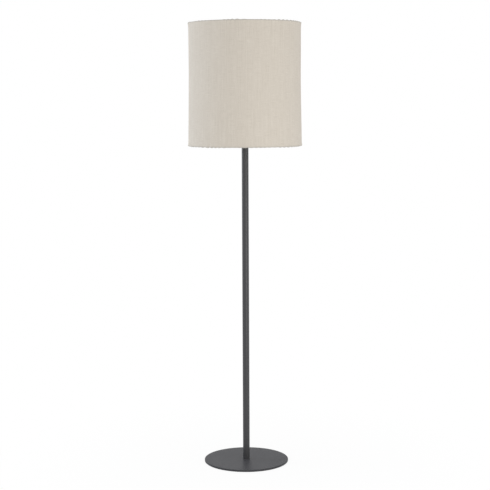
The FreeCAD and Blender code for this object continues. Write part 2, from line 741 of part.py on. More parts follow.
def fitter_plate():
    """Flat ring that sits on the holder's shoulder and carries the arms."""
    return tube(FITTER_OUTER_RADIUS, FITTER_BORE, SHOULDER_TOP, FITTER_TOP)


def collar_washer():
    """Slip washer carried under the collar."""
    return tube(COLLAR_RADIUS - LOOSE_GAP, FITTER_BORE, FITTER_TOP, COLLAR_BOTTOM)


def shade_collar():
    """Threaded ring, with finger grips, that clamps the shade."""
    top = COLLAR_BOTTOM + COLLAR_HEIGHT
    blank = cylinder(COLLAR_RADIUS, COLLAR_BOTTOM, top)
    for i in range(COLLAR_GRIPS):
        angle = 2 * math.pi * i / COLLAR_GRIPS
        middle = at(COLLAR_RADIUS * math.cos(angle), COLLAR_RADIUS * math.sin(angle), COLLAR_BOTTOM)
        blank = blank.cut(Part.makeCylinder(COLLAR_GRIP_RADIUS, COLLAR_HEIGHT, middle, UP))
    margin = BARREL_THREAD_PITCH
    return one_solid(blank.cut(barrel_thread(COLLAR_BOTTOM - margin, top + margin, THREAD_GAP)))


# ---------------------------------------------------------------- bulb
def bulb_tip():
    """Centre contact of the bulb."""
    return cylinder(BULB_TIP_RADIUS, BULB_TIP, BULB_TIP + BULB_TIP_HEIGHT)


def bulb_insulator():
    """Insulating cone between the tip and the threaded cap."""
    low = BULB_TIP + BULB_TIP_HEIGHT
    high = BULB_TIP + BULB_CAP_BOTTOM
    edge = BULB_THREAD_CORE_RADIUS - BULB_CAP_WALL
    return turned([(0, low), (BULB_TIP_RADIUS + BULB_TIP_MARGIN, low), (edge, high), (0, high)])


def bulb_cap():
    """Threaded metal cap of the bulb."""
    bottom = BULB_TIP + BULB_CAP_BOTTOM
    top = BULB_TIP + BULB_CAP_TOP
    first = BULB_TIP + BULB_THREAD_BOTTOM
    last = BULB_TIP + BULB_THREAD_TOP
    slab = cylinder(2 * BULB_THREAD_CREST, first, last)
    thread = screw_form(BULB_THREAD_CORE_RADIUS, BULB_THREAD_DEPTH, BULB_THREAD_PITCH,
                        first - BULB_THREAD_PITCH, last + BULB_THREAD_PITCH, first).common(slab)
    shell = cylinder(BULB_THREAD_CORE_RADIUS, bottom, top).fuse(thread)
    hollow = cylinder(BULB_THREAD_CORE_RADIUS - BULB_CAP_WALL, bottom, top)
    return one_solid(shell.cut(hollow))


def housing_profile(inset, bottom, top):
    """(radius, height) corners of the bulb's housing, a distance inside its outer face."""
    neck = BULB_TIP + BULB_NECK_HEIGHT
    return [
        (BULB_NECK_RADIUS - inset, bottom),
        (BULB_NECK_TOP_RADIUS - inset, neck),
        (BULB_RADIUS - inset, top),
    ]


def housing_top():
    """Height of the joint between the housing and the globe."""
    return BULB_TIP + BULB_HOUSING_TOP


def bulb_housing():
    """Conical plastic housing between the threaded cap and the globe."""
    bottom = BULB_TIP + BULB_CAP_TOP
    outer = housing_profile(0, bottom, housing_top())
    inner = housing_profile(BULB_HOUSING_WALL, bottom, housing_top())
    return turned(outer + inner[::-1])


def globe_dome(inset, bottom):
    """Solid dome of the globe: a hemisphere above a short drum, a distance inside its outer face."""
    radius = BULB_RADIUS - inset
    spring_line = BULB_TIP + BULB_LENGTH - BULB_RADIUS
    ball = Part.makeSphere(radius, at(0, 0, spring_line))
    drum = cylinder(radius, bottom, spring_line)
    below = cylinder(2 * BULB_RADIUS, spring_line - 2 * BULB_RADIUS, spring_line)
    return drum.fuse(ball.cut(below)).removeSplitter()


def bulb_globe():
    """Frosted globe."""
    bottom = housing_top() + LED_BOARD_THICKNESS
    return one_solid(globe_dome(0, bottom).cut(globe_dome(BULB_GLOBE_WALL, bottom - BULB_GLOBE_WALL)))


def led_board():
    """Round board that closes the housing and carries the light chips."""
    return cylinder(BULB_RADIUS, housing_top(), housing_top() + LED_BOARD_THICKNESS)


def led_chips():
    """Ring of light chips on the board."""
    bottom = housing_top() + LED_BOARD_THICKNESS
    chips = []
    for i in range(LED_CHIP_COUNT):
        chip = Part.makeBox(
            LED_CHIP_SIZE, LED_CHIP_SIZE, LED_CHIP_HEIGHT,
            at(LED_CIRCLE_RADIUS - LED_CHIP_SIZE / 2, -LED_CHIP_SIZE / 2, bottom))
        chip.rotate(at(0, 0, 0), UP, 360 / LED_CHIP_COUNT * i)
        chips.append(chip)
    return Part.makeCompound(chips)


def driver_board():
    """Upright circuit board that hangs from the light board inside the housing."""
    bottom = housing_top() - DRIVER_BOARD_HEIGHT
    return Part.makeBox(
        DRIVER_BOARD_WIDTH, DRIVER_BOARD_THICKNESS, DRIVER_BOARD_HEIGHT,
        at(-DRIVER_BOARD_WIDTH / 2, -DRIVER_BOARD_THICKNESS / 2, bottom))


def driver_parts():
    """A capacitor and a coil on the two faces of the circuit board."""
    face = DRIVER_BOARD_THICKNESS / 2
    top = housing_top() - DRIVER_PARTS_DROP
    capacitor = Part.makeCylinder(
        DRIVER_CAPACITOR_RADIUS, DRIVER_CAPACITOR_LENGTH,
        at(0, face + DRIVER_CAPACITOR_RADIUS, top - DRIVER_CAPACITOR_LENGTH), UP)
    coil = Part.makeBox(
        DRIVER_COIL_SIZE, DRIVER_COIL_DEPTH, DRIVER_COIL_SIZE,
        at(-DRIVER_COIL_SIZE / 2, -face - DRIVER_COIL_DEPTH, top - DRIVER_COIL_SIZE))
    return Part.makeCompound([capacitor, coil])


# ---------------------------------------------------------------- write every node
def main():
    """Build the lamp, one file for each piece."""
    os.makedirs("parts", exist_ok=True)
    save(base_plate(), "base_plate")
    save(floor_pad(), "floor_pad")
    save(base_screw(), "base_screw")
    save(foot_plug(), "foot_plug")
    save(lower_tube(), "lower_tube")
    save(pole_insert(POLE_JOINT - INSERT_LENGTH), "lower_insert")
    save(joint_stud(), "joint_stud")
    save(pole_insert(POLE_JOINT), "upper_insert")
    save(upper_tube(), "upper_tube")
    save(top_plug(), "top_plug")
    save(cord_grommet(), "cord_grommet")
    save(inner_lead(), "inner_lead")
    save(holder_wire(1), "live_wire")
    save(holder_wire(-1), "neutral_wire")
    save(holder_nipple(), "holder_nipple")
    save(lock_washer(), "lock_washer")
    save(nipple_nut(), "nipple_nut")
    save(holder_cap(), "holder_cap")
    save(grub_screw(), "grub_screw")
    save(insert_disc(), "insert_disc")
    save(terminals(), "terminals")
    save(terminal_screws(), "terminal_screws")
    save(centre_contact(), "centre_contact")
    save(screw_shell(), "screw_shell")
    save(holder_skirt(), "holder_skirt")
    save(switch_bush(), "switch_bush")
    save(switch_shaft(), "switch_shaft")
    save(switch_rotor(), "switch_rotor")
    save(switch_knob(), "switch_knob")
    save(shade_cover(), "shade_cover")
    save(shade_liner(), "shade_liner")
    save(ring(TOP_RING_RADIUS, TOP_RING_HEIGHT), "top_ring")
    save(ring(BOTTOM_RING_RADIUS, BOTTOM_RING_HEIGHT), "bottom_ring")
    save(spider_arms(), "spider_arms")
    save(fitter_plate(), "fitter_plate")
    save(collar_washer(), "collar_washer")
    save(shade_collar(), "shade_collar")
    save(bulb_tip(), "bulb_tip")
    save(bulb_insulator(), "bulb_insulator")
    save(bulb_cap(), "bulb_cap")
    save(bulb_housing(), "bulb_housing")
    save(bulb_globe(), "bulb_globe")
    save(led_board(), "led_board")
    save(led_chips(), "led_chips")
    save(driver_board(), "driver_board")
    save(driver_parts(), "driver_parts")


main()
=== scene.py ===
"""Looks of the column floor lamp: its fabric shade, its finishes, and the studio it stands in.

Metres, +Z up, with the origin in the middle of the base on the floor.  -Y is the front.
"""
import logging
import math
from dataclasses import dataclass
from enum import Enum
from typing import ClassVar, Iterable, Sequence, Union

import bmesh
import bpy
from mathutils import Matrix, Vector, noise


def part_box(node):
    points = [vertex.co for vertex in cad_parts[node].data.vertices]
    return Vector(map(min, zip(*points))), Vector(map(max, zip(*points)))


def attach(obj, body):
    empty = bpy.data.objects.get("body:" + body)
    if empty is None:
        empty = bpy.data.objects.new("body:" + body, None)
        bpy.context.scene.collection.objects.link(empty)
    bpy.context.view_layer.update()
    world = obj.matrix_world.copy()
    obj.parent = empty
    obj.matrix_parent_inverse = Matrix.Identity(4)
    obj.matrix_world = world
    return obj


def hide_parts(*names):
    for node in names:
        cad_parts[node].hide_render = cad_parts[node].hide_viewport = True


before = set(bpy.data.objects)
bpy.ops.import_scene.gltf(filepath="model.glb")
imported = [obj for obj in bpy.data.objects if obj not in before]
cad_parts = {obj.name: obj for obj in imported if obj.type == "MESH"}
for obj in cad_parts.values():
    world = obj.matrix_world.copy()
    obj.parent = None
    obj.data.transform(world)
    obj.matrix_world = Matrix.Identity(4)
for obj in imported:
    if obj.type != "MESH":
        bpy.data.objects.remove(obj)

logging.basicConfig(level=logging.INFO, format="%(message)s")
LOG = logging.getLogger("lamp")

MM = 0.001
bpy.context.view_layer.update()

Colour = tuple[float, float, float]
Ink = Union[Colour, bpy.types.NodeSocket]
Number = Union["Value", float, int]

WHITE: Colour = (1.0, 1.0, 1.0)


def from_screen(red: int, green: int, blue: int) -> Colour:
    """Turn a colour as a screen shows it, 0 to 255, into linear light.

    Args:
        red: Red on the screen.
        green: Green on the screen.
        blue: Blue on the screen.

    Returns:
        The linear colour.
    """
    def one(level: int) -> float:
        """One channel's linear value."""
        share = level / 255
        return share / 12.92 if share <= 0.04045 else ((share + 0.055) / 1.055) ** 2.4

    return one(red), one(green), one(blue)


def tinted(colour: Colour, factor: float) -> Colour:
    """A colour made darker or lighter by a factor, and never over full white."""
    return tuple(min(1.0, channel * factor) for channel in colour)


# ------------------------------------------------------------------ shader writing
class Value:
    """A number that varies over a surface: operators on it add Math nodes."""

    def __init__(self, graph: "Graph", socket: bpy.types.NodeSocket) -> None:
        """Wrap one output socket of a graph."""
        self.graph = graph
        self.socket = socket

    def maths(self, operation: str, *others: Number) -> "Value":
        """Add one Math node.

        Args:
            operation: Blender's name for the operation.
            others: The second and third operands, if it takes them.

        Returns:
            The node's result.
        """
        inputs = dict(enumerate((self, *others)))
        return self.graph.value("ShaderNodeMath", {"operation": operation}, inputs)

    def reflected(self, operation: str, left: Number) -> "Value":
        """Add one Math node with a plain number on its left-hand side."""
        return self.graph.value("ShaderNodeMath", {"operation": operation}, {0: left, 1: self})

    def __add__(self, other: Number) -> "Value":
        """self + other."""
        return self.maths("ADD", other)

    def __radd__(self, other: Number) -> "Value":
        """other + self."""
        return self.reflected("ADD", other)

    def __sub__(self, other: Number) -> "Value":
        """self - other."""
        return self.maths("SUBTRACT", other)

    def __rsub__(self, other: Number) -> "Value":
        """other - self."""
        return self.reflected("SUBTRACT", other)

    def __mul__(self, other: Number) -> "Value":
        """self * other."""
        return self.maths("MULTIPLY", other)

    def __rmul__(self, other: Number) -> "Value":
        """other * self."""
        return self.reflected("MULTIPLY", other)

    def __truediv__(self, other: Number) -> "Value":
        """self / other."""
        return self.maths("DIVIDE", other)

    def __rtruediv__(self, other: Number) -> "Value":
        """other / self."""
        return self.reflected("DIVIDE", other)

    def __neg__(self) -> "Value":
        """-self."""
        return self.maths("MULTIPLY", -1.0)

    def sine(self) -> "Value":
        """The sine of an angle in radians."""
        return self.maths("SINE")

    def larger(self, other: Number) -> "Value":
        """The larger of two numbers."""
        return self.maths("MAXIMUM", other)

    def beside(self, other: "Value") -> "Value":
        """The long side of a right-angled triangle with these two legs."""
        return (self * self + other * other).maths("SQRT")

    def swing(self, amount: float) -> "Value":
        """The number's distance from 0.5, times an amount."""
        return (self - 0.5) * amount

    def clamped(self, low: float = 0.0, high: float = 1.0) -> "Value":
        """The number held between two limits."""
        return self.maths("MAXIMUM", low).maths("MINIMUM", high)

    def above(self, edge: Number) -> "Value":
        """1 where the number is over the edge, 0 elsewhere."""
        return self.maths("GREATER_THAN", edge)

    def step_between(self, low: float, high: float) -> "Value":
        """Rise from 0 at low to 1 at high, in a straight line."""
        return ((self - low) / (high - low)).clamped()


class Graph:
    """The nodes of one material or of the room."""

    def __init__(self, owner: Union[bpy.types.Material, bpy.types.World]) -> None:
        """Start with no nodes.

        Args:
            owner: The material or the world that the nodes belong to.
        """
        owner.use_nodes = True
        self.tree = owner.node_tree
        self.tree.nodes.clear()

    def add(self, kind: str, settings: dict, inputs: dict) -> bpy.types.Node:
        """Add one node.

        Args:
            kind: The node's type.
            settings: Attributes to set first, such as an operation.
            inputs: Socket name or index to a number, colour, Value or socket.

        Returns:
            The node.
        """
        node = self.tree.nodes.new(kind)
        for name, setting in settings.items():
            setattr(node, name, setting)
        for key, given in inputs.items():
            self.feed(node.inputs[key], given)
        return node

    def feed(self, socket: bpy.types.NodeSocket, given: object) -> None:
        """Link a value or socket to an input, or set it to a constant.

        Args:
            socket: The input.
            given: A Value, an output socket, a number or a colour.
        """
        if isinstance(given, Value):
            self.tree.links.new(given.socket, socket)
        elif isinstance(given, bpy.types.NodeSocket):
            self.tree.links.new(given, socket)
        elif isinstance(given, (tuple, list)) and len(given) == 3 and socket.type == "RGBA":
            socket.default_value = (*given, 1.0)
        else:
            socket.default_value = given

    def value(self, kind: str, settings: dict, inputs: dict, output: Union[int, str] = 0) -> Value:
        """Add one node and wrap one of its outputs.

        Args:
            kind: The node's type.
            settings: Attributes to set first.
            inputs: Its sockets' values.
            output: Which output to wrap.

        Returns:
            The wrapped output.
        """
        return Value(self, self.add(kind, settings, inputs).outputs[output])

    def spot(self) -> bpy.types.NodeSocket:
        """The point in metres, in the piece's own frame."""
        return self.add("ShaderNodeTexCoord", {}, {}).outputs["Object"]

    def place(self) -> tuple[Value, Value, Value]:
        """The point's x, y and z in metres, in the piece's own frame."""
        split = self.add("ShaderNodeSeparateXYZ", {}, {0: self.spot()})
        return tuple(Value(self, split.outputs[axis]) for axis in range(3))

    def seen_as_white(self) -> Value:
        """Tell what is seen from what only lights other things.

        Returns:
            1 where the camera, a mirror or clear glass looks, and 0 for all other light.
        """
        path = self.add("ShaderNodeLightPath", {}, {})
        camera, mirror, glass = (Value(self, path.outputs[f"Is {kind} Ray"])
                                 for kind in ("Camera", "Glossy", "Transmission"))
        return camera.larger(mirror).larger(glass)

    def point(self, x: Number, y: Number, z: Number) -> bpy.types.NodeSocket:
        """Join three numbers into a vector."""
        return self.add("ShaderNodeCombineXYZ", {}, {0: x, 1: y, 2: z}).outputs[0]

    def grain(self, where: bpy.types.NodeSocket, detail: float = 2.0, roughness: float = 0.5,
              scale: float = 1.0) -> Value:
        """Smooth random noise about 0.5.

        Args:
            where: The vector that it is read at.
            detail: How many finer layers it has.
            roughness: How strong those layers are.
            scale: How many cells there are to one unit of the vector.

        Returns:
            The noise.
        """
        inputs = {"Vector": where, "Scale": scale, "Detail": detail, "Roughness": roughness}
        return self.value("ShaderNodeTexNoise", {"noise_dimensions": "3D"}, inputs)

    def blend(self, share: Number, first: Ink, second: Ink) -> bpy.types.NodeSocket:
        """Mix two colours.

        Args:
            share: 0 gives the first and 1 the second.
            first: One colour, or a colour socket.
            second: The other.

        Returns:
            The mixed colour's socket.
        """
        inputs = {"Factor": share, 6: first, 7: second}
        return self.add("ShaderNodeMix", {"data_type": "RGBA"}, inputs).outputs[2]


class Paint(Graph):
    """One material, with its Principled shader."""

    def __init__(self, name: str) -> None:
        """Start a material that holds only a Principled shader.

        Args:
            name: The material's name.
        """
        self.material = bpy.data.materials.new(name)
        super().__init__(self.material)
        self.shader = self.add("ShaderNodeBsdfPrincipled", {}, {})
        shown = {"Surface": self.shader.outputs["BSDF"]}
        self.output = self.add("ShaderNodeOutputMaterial", {}, shown)

    def bump(self, height: Value, distance: float) -> None:
        """Let a height stand out of the surface.

        Args:
            height: The height, from 0 to 1.
            distance: What a height of 1 stands out by, in metres.
        """
        node = self.add("ShaderNodeBump", {}, {"Height": height, "Distance": distance})
        self.feed(self.shader.inputs["Normal"], node.outputs["Normal"])

    def set(self, **inputs: object) -> None:
        """Set the Principled shader's sockets, with underscores for the spaces in their names."""
        for name, given in inputs.items():
            self.feed(self.shader.inputs[name.replace("_", " ")], given)


# ------------------------------------------------------------------ finishes
@dataclass(frozen=True)
class Finish:
    """One surface finish: a colour and a roughness, each varied in the finish's own way."""

    name: str
    colour: Colour
    roughness: float

    def write(self, paint: Paint) -> None:
        """Write the finish's nodes.

        Args:
            paint: The paint that they are added to.
        """
        raise NotImplementedError

    def material(self) -> bpy.types.Material:
        """Make the finish's material.

        Returns:
            The material.
        """
        paint = Paint(self.name)
        self.write(paint)
        return paint.material


@dataclass(frozen=True)
class PowderCoat(Finish):
    """Baked powder coat on steel: fine orange peel, a faint speckle and a soft sheen."""

    peel: float
    speckle: float = 0.1
    shine: float = 0.3
    peel_scale: float = 900.0
    grit_scale: float = 3800.0
    cloud_scale: float = 14.0

    def write(self, paint: Paint) -> None:
        """Write the coat's nodes.

        Args:
            paint: The paint that they are added to.
        """
        where = paint.spot()
        peel = paint.grain(where, detail=1.0, scale=self.peel_scale)
        grit = paint.grain(where, detail=0.0, scale=self.grit_scale)
        cloud = paint.grain(where, detail=3.0, scale=self.cloud_scale)
        dark = tinted(self.colour, 1 - self.speckle)
        light = tinted(self.colour, 1 + self.speckle)
        share = (0.5 + grit.swing(1.4) + cloud.swing(0.5)).clamped()
        paint.set(
            Base_Color=paint.blend(share, dark, light),
            Roughness=(self.roughness + cloud.swing(0.1) + grit.swing(0.08)).clamped(0.05, 1.0),
            Specular_IOR_Level=self.shine,
        )
        paint.bump(peel * 0.7 + grit * 0.3, self.peel)


@dataclass(frozen=True)
class Woven(Finish):
    """A finish that follows the two sets of yarns of a cloth round the drum."""

    drum_radius: float = 0.198
    thread: float = 0.0009
    yarn_threads: float = 1.6
    slub_length: float = 0.03
    yarn_roughness: float = 0.6
    weft_seed: float = 3.0
    warp_seed: float = 11.0

    def around(self, x: Value, y: Value) -> Value:
        """Distance round the drum, from its front."""
        return x.maths("ARCTAN2", -y) * self.drum_radius

    def yarn(self, paint: Paint, along: Value, across: Value, seed: float) -> Value:
        """Thick and thin stretches along one set of yarns.

        Args:
            paint: The paint that it is added to.
            along: Distance along the yarns.
            across: Distance across them.
            seed: Keeps the two sets of yarns apart.

        Returns:
            Noise about 0.5 that is long along the yarn and one or two yarns wide.
        """
        width = self.thread * self.yarn_threads
        where = paint.point(along / self.slub_length, across / width, seed)
        return paint.grain(where, detail=1.5, roughness=self.yarn_roughness)


@dataclass(frozen=True)
class Linen(Woven):
    """Plain-woven linen with slubs and a soft mottle, and painted shade on its rims, along its
    seam's edge and between its threads.

    Its own colour is that of its palest yarns.
    """

    shadow: Colour = from_screen(189, 180, 167)
    # Painted shade: a grey that darkens the rolled rims, standing in for the shade on the roll.
    rim_shade_colour: Colour = (0.4, 0.39, 0.36)
    rim_width: float = 0.0035
    rim_shade_shown: float = 0.6
    seam_width: float = 0.013
    # Painted shadow: a dark line along the edge of the lapped seam.
    seam_shadow_width: float = 0.0012
    seam_shadow_shown: float = 0.7
    streak_length: float = 0.16
    streak_width: float = 0.004
    streak_seed: float = 23.0
    streak_shown: float = 0.4
    mottle_scale: float = 26.0
    mottle_shown: float = 0.1
    weft_shown: float = 0.6
    warp_shown: float = 0.45
    # Painted shade: how much the weave's height darkens the hollows between threads.
    weave_shade_shown: float = 0.3
    relief: float = 0.00016

    def shaded_rims(self, height: Value) -> Value:
        """Find the two rolled rims, where painted shade darkens the cloth.

        Args:
            height: Height above the floor.

        Returns:
            1 on the rims, fading to 0 on the wall.
        """
        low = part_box("bottom_ring")[0].z
        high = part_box("top_ring")[1].z
        away = (height - (low + high) / 2).maths("ABSOLUTE")
        return away.step_between((high - low) / 2 - self.rim_width, (high - low) / 2)

    def seam_shadow_line(self, around: Value) -> Value:
        """1 on the cut edge of the lapped cloth at the back, where a painted shadow line lies,
        fading to 0 on both sides of it.
        """
        from_edge = (around + math.pi * self.drum_radius - self.seam_width).maths("ABSOLUTE")
        return (1 - from_edge / self.seam_shadow_width).clamped()

    def weave(self, z: Value, around: Value, sway: Value) -> Value:
        """Lay the yarns of the two sets over and under each other.

        Args:
            z: Height above the floor.
            around: Distance round the drum.
            sway: How far the yarns wander, in radians of one thread's turn.

        Returns:
            The weave's height, from 0 to 1.
        """
        turn = math.pi / self.thread
        weft = (z * turn + sway).sine()
        warp = (around * turn + sway).sine()
        over = (weft * warp).above(0.0)
        return over * (weft * weft) + (1 - over) * (warp * warp)

    def write(self, paint: Paint) -> None:
        """Write the cloth's nodes.

        Args:
            paint: The paint that they are added to.
        """
        x, y, z = paint.place()
        around = self.around(x, y)
        weft = self.yarn(paint, around, z, self.weft_seed)
        warp = self.yarn(paint, z, around, self.warp_seed)
        weave = self.weave(z, around, weft.swing(0.5))
        mottle = paint.grain(paint.point(x, y, z), detail=3.0, scale=self.mottle_scale)
        streak = paint.grain(paint.point(
            z / self.streak_length, around / self.streak_width, self.streak_seed))
        # The weave's share is painted shade: darker in the hollows between raised threads.
        share = (0.5
                 + weft.swing(self.weft_shown)
                 + warp.swing(self.warp_shown)
                 + streak.swing(self.streak_shown)
                 + mottle.swing(self.mottle_shown)
                 + weave.swing(self.weave_shade_shown)).clamped()
        # Painted shade: the rims and the lapped seam's edge are darkened in the colour.
        painted_shade = (self.shaded_rims(z) * self.rim_shade_shown).larger(self.seam_shadow_line(around) * self.seam_shadow_shown)
        paint.set(
            Base_Color=paint.blend(painted_shade, paint.blend(share, self.shadow, self.colour), self.rim_shade_colour),
            Roughness=(self.roughness - weft.swing(0.1)).clamped(0.4, 1.0),
            Specular_IOR_Level=0.25,
            Sheen_Weight=0.1,
            Sheen_Roughness=0.45,
        )
        paint.bump(weave * 0.45 + weft * 0.35 + warp * 0.2, self.relief)


@dataclass(frozen=True)
class Laminate(Woven):
    """Stiff sheet behind the linen, whose weave shows in it as a faint grid."""

    yarn_roughness: float = 0.5
    shown: Colour = (0.74, 0.7, 0.63)
    gloss_scale: float = 30.0
    relief: float = 0.00005

    def write(self, paint: Paint) -> None:
        """Write the sheet's nodes.

        Args:
            paint: The paint that they are added to.
        """
        x, y, z = paint.place()
        around = self.around(x, y)
        weft = self.yarn(paint, around, z, self.weft_seed)
        warp = self.yarn(paint, z, around, self.warp_seed)
        gloss = paint.grain(paint.point(x, y, z), scale=self.gloss_scale)
        share = (0.5 + weft.swing(1.3) + warp.swing(0.9)).clamped()
        paint.set(
            Base_Color=paint.blend(share, self.shown, self.colour),
            Roughness=(self.roughness + gloss.swing(0.2)).clamped(0.1, 1.0),
        )
        paint.bump(gloss * 0.6 + weft * 0.4, self.relief)


@dataclass(frozen=True)
class Metal(Finish):
    """Bare metal with fine turning marks round the lamp's axis and a little tarnish."""

    tarnish: float = 0.25
    marks_scale: float = 2600.0
    cloud_scale: float = 160.0
    relief: float = 0.00001

    def write(self, paint: Paint) -> None:
        """Write the metal's nodes.

        Args:
            paint: The paint that they are added to.
        """
        x, y, z = paint.place()
        marks = paint.grain(paint.point(x.beside(y) * 0.3, 0.0, z), scale=self.marks_scale)
        cloud = paint.grain(paint.point(x, y, z), detail=4.0, scale=self.cloud_scale)
        bright = (cloud * 0.7 + marks * 0.3).step_between(0.3, 0.6)
        paint.set(
            Base_Color=paint.blend(bright, tinted(self.colour, 1 - self.tarnish), self.colour),
            Metallic=1.0,
            Roughness=(self.roughness + marks.swing(0.2) - cloud.swing(0.15)).clamped(0.08, 1.0),
        )
        paint.bump(marks, self.relief)


@dataclass(frozen=True)
class Moulded(Finish):
    """Moulded plastic: fine spark texture and faint flow lines."""

    texture: float = 0.00003
    variation: float = 0.08
    spark_scale: float = 2200.0
    flow_scale: float = 90.0
    flow_stretch: float = 0.4

    def write(self, paint: Paint) -> None:
        """Write the plastic's nodes.

        Args:
            paint: The paint that they are added to.
        """
        x, y, z = paint.place()
        along_flow = paint.point(x * self.flow_stretch, y * self.flow_stretch, z)
        spark = paint.grain(paint.point(x, y, z), detail=1.0, scale=self.spark_scale)
        flow = paint.grain(along_flow, detail=3.0, scale=self.flow_scale)
        dark = tinted(self.colour, 1 - self.variation)
        light = tinted(self.colour, 1 + self.variation)
        share = (0.5 + flow.swing(1.2) + spark.swing(0.4)).clamped()
        paint.set(
            Base_Color=paint.blend(share, dark, light),
            Roughness=(self.roughness + spark.swing(0.12) + flow.swing(0.1)).clamped(0.05, 1.0),
        )
        paint.bump(spark, self.texture)


@dataclass(frozen=True)
class Enamel(Finish):
    """White stove enamel on the shade's wires, a little thin along its runs."""

    thin: Colour = (0.7, 0.69, 0.66)
    runs_scale: float = 120.0
    peel_scale: float = 1400.0
    peel: float = 0.00003

    def write(self, paint: Paint) -> None:
        """Write the enamel's nodes.

        Args:
            paint: The paint that they are added to.
        """
        where = paint.spot()
        runs = paint.grain(where, detail=3.0, scale=self.runs_scale)
        peel = paint.grain(where, detail=1.0, scale=self.peel_scale)
        paint.set(
            Base_Color=paint.blend(runs.step_between(0.3, 0.6), self.thin, self.colour),
            Roughness=(self.roughness + runs.swing(0.15)).clamped(0.1, 1.0),
            Coat_Weight=0.2,
        )
        paint.bump(peel, self.peel)


@dataclass(frozen=True)
class Foam(Finish):
    """Closed-cell foam pad: a skin of small cells."""

    cell_scale: float = 900.0
    dust_scale: float = 40.0
    dust_tint: float = 1.9
    cell_depth: float = 0.0001

    def write(self, paint: Paint) -> None:
        """Write the foam's nodes.

        Args:
            paint: The paint that they are added to.
        """
        where = paint.spot()
        cell = paint.value("ShaderNodeTexVoronoi", {"feature": "F1"},
                           {"Vector": where, "Scale": self.cell_scale}, "Distance")
        dust = paint.grain(where, detail=4.0, scale=self.dust_scale)
        dusty = (cell * 0.5 + (dust - 0.4) * 0.8).clamped()
        paint.set(
            Base_Color=paint.blend(dusty, self.colour, tinted(self.colour, self.dust_tint)),
            Roughness=(self.roughness - dust.swing(0.1)).clamped(0.3, 1.0),
        )
        paint.bump(cell, self.cell_depth)


@dataclass(frozen=True)
class FrostedGlobe(Finish):
    """Milk-white bulb globe: a satin skin with a warm haze in it."""

    warm: Colour = (0.86, 0.83, 0.72)
    haze_scale: float = 45.0
    skin_scale: float = 1800.0
    skin_depth: float = 0.00001

    def write(self, paint: Paint) -> None:
        """Write the globe's nodes.

        Args:
            paint: The paint that they are added to.
        """
        where = paint.spot()
        haze = paint.grain(where, detail=3.0, scale=self.haze_scale)
        skin = paint.grain(where, detail=1.0, scale=self.skin_scale)
        paint.set(
            Base_Color=paint.blend(haze.step_between(0.35, 0.6), self.warm, self.colour),
            Roughness=(self.roughness + haze.swing(0.12)).clamped(0.1, 1.0),
            Subsurface_Weight=0.15,
            Subsurface_Scale=0.004,
        )
        paint.bump(skin, self.skin_depth)


@dataclass(frozen=True)
class BoardLacquer(Finish):
    """Lacquered circuit board with tinned tracks showing through."""

    track: Colour = (0.6, 0.6, 0.58)
    track_scale: float = 260.0
    track_width: float = 0.012
    track_height: float = 0.00005
    cloud_scale: float = 300.0

    def write(self, paint: Paint) -> None:
        """Write the board's nodes.

        Args:
            paint: The paint that they are added to.
        """
        x, y, z = paint.place()
        black = tinted(WHITE, 0.0)
        lines = paint.value("ShaderNodeTexBrick", {"offset": 0.5}, {
            "Vector": paint.point(x, y + z, 0.0), "Scale": self.track_scale,
            "Mortar Size": self.track_width, "Color1": black, "Color2": black, "Mortar": WHITE,
        }, "Fac")
        cloud = paint.grain(paint.point(x, y, z), scale=self.cloud_scale)
        share = (lines * 0.7 + cloud.swing(0.2)).clamped()
        paint.set(
            Base_Color=paint.blend(share, self.colour, self.track),
            Roughness=(self.roughness - lines * 0.15).clamped(0.1, 1.0),
            Coat_Weight=0.3,
        )
        paint.bump(lines, self.track_height)


class Surface(Enum):
    """Every finish on the lamp."""

    BASE = PowderCoat("base_powder_coat", from_screen(70, 70, 73), 0.43, peel=0.00001, shine=0.04)
    POLE = PowderCoat("pole_powder_coat", from_screen(64, 64, 66), 0.29, peel=0.00003, speckle=0.07)
    LINEN = Linen("shade_linen", from_screen(222, 215, 205), 0.85)
    LINER = Laminate("shade_liner_sheet", (0.82, 0.79, 0.73), 0.45)
    WIRE = Enamel("shade_wire_enamel", (0.8, 0.79, 0.76), 0.35)
    FOAM = Foam("pad_foam", (0.025, 0.025, 0.026), 0.85)
    ZINC = Metal("zinc_plate", (0.62, 0.63, 0.64), 0.35)
    BRASS = Metal("brass", (0.78, 0.6, 0.3), 0.3)
    CAP_METAL = Metal("bulb_cap_metal", (0.72, 0.72, 0.73), 0.28, tarnish=0.15)
    HOLDER = Moulded("holder_plastic", from_screen(46, 46, 48), 0.42)
    KNOB = Moulded("knob_plastic", from_screen(40, 40, 42), 0.3, texture=0.00001)
    RUBBER = Moulded("grommet_rubber", (0.02, 0.02, 0.021), 0.7, texture=0.00004)
    SHEATH = Moulded("lead_sheath", (0.03, 0.03, 0.031), 0.5)
    BROWN_WIRE = Moulded("brown_wire", (0.16, 0.06, 0.025), 0.4)
    BLUE_WIRE = Moulded("blue_wire", (0.04, 0.13, 0.42), 0.4)
    STEATITE = Moulded("steatite_disc", (0.74, 0.72, 0.66), 0.6, texture=0.00005, variation=0.05)
    HOUSING = Moulded("bulb_housing_plastic", (0.82, 0.82, 0.81), 0.4, variation=0.03)
    GLASSY_BLACK = Moulded("bulb_insulator_glass", (0.015, 0.015, 0.017), 0.12, texture=0.000005)
    GLOBE = FrostedGlobe("bulb_globe_frost", (0.88, 0.88, 0.86), 0.38)
    LIGHT_BOARD = BoardLacquer("light_board_lacquer", (0.78, 0.79, 0.77), 0.4)
    DRIVER_BOARD = BoardLacquer("driver_board_lacquer", (0.04, 0.2, 0.08), 0.35)
    CHIP = Moulded("light_chip", (0.85, 0.68, 0.16), 0.35, variation=0.12)
    DRIVER_PART = Moulded("driver_part", (0.05, 0.05, 0.06), 0.4)


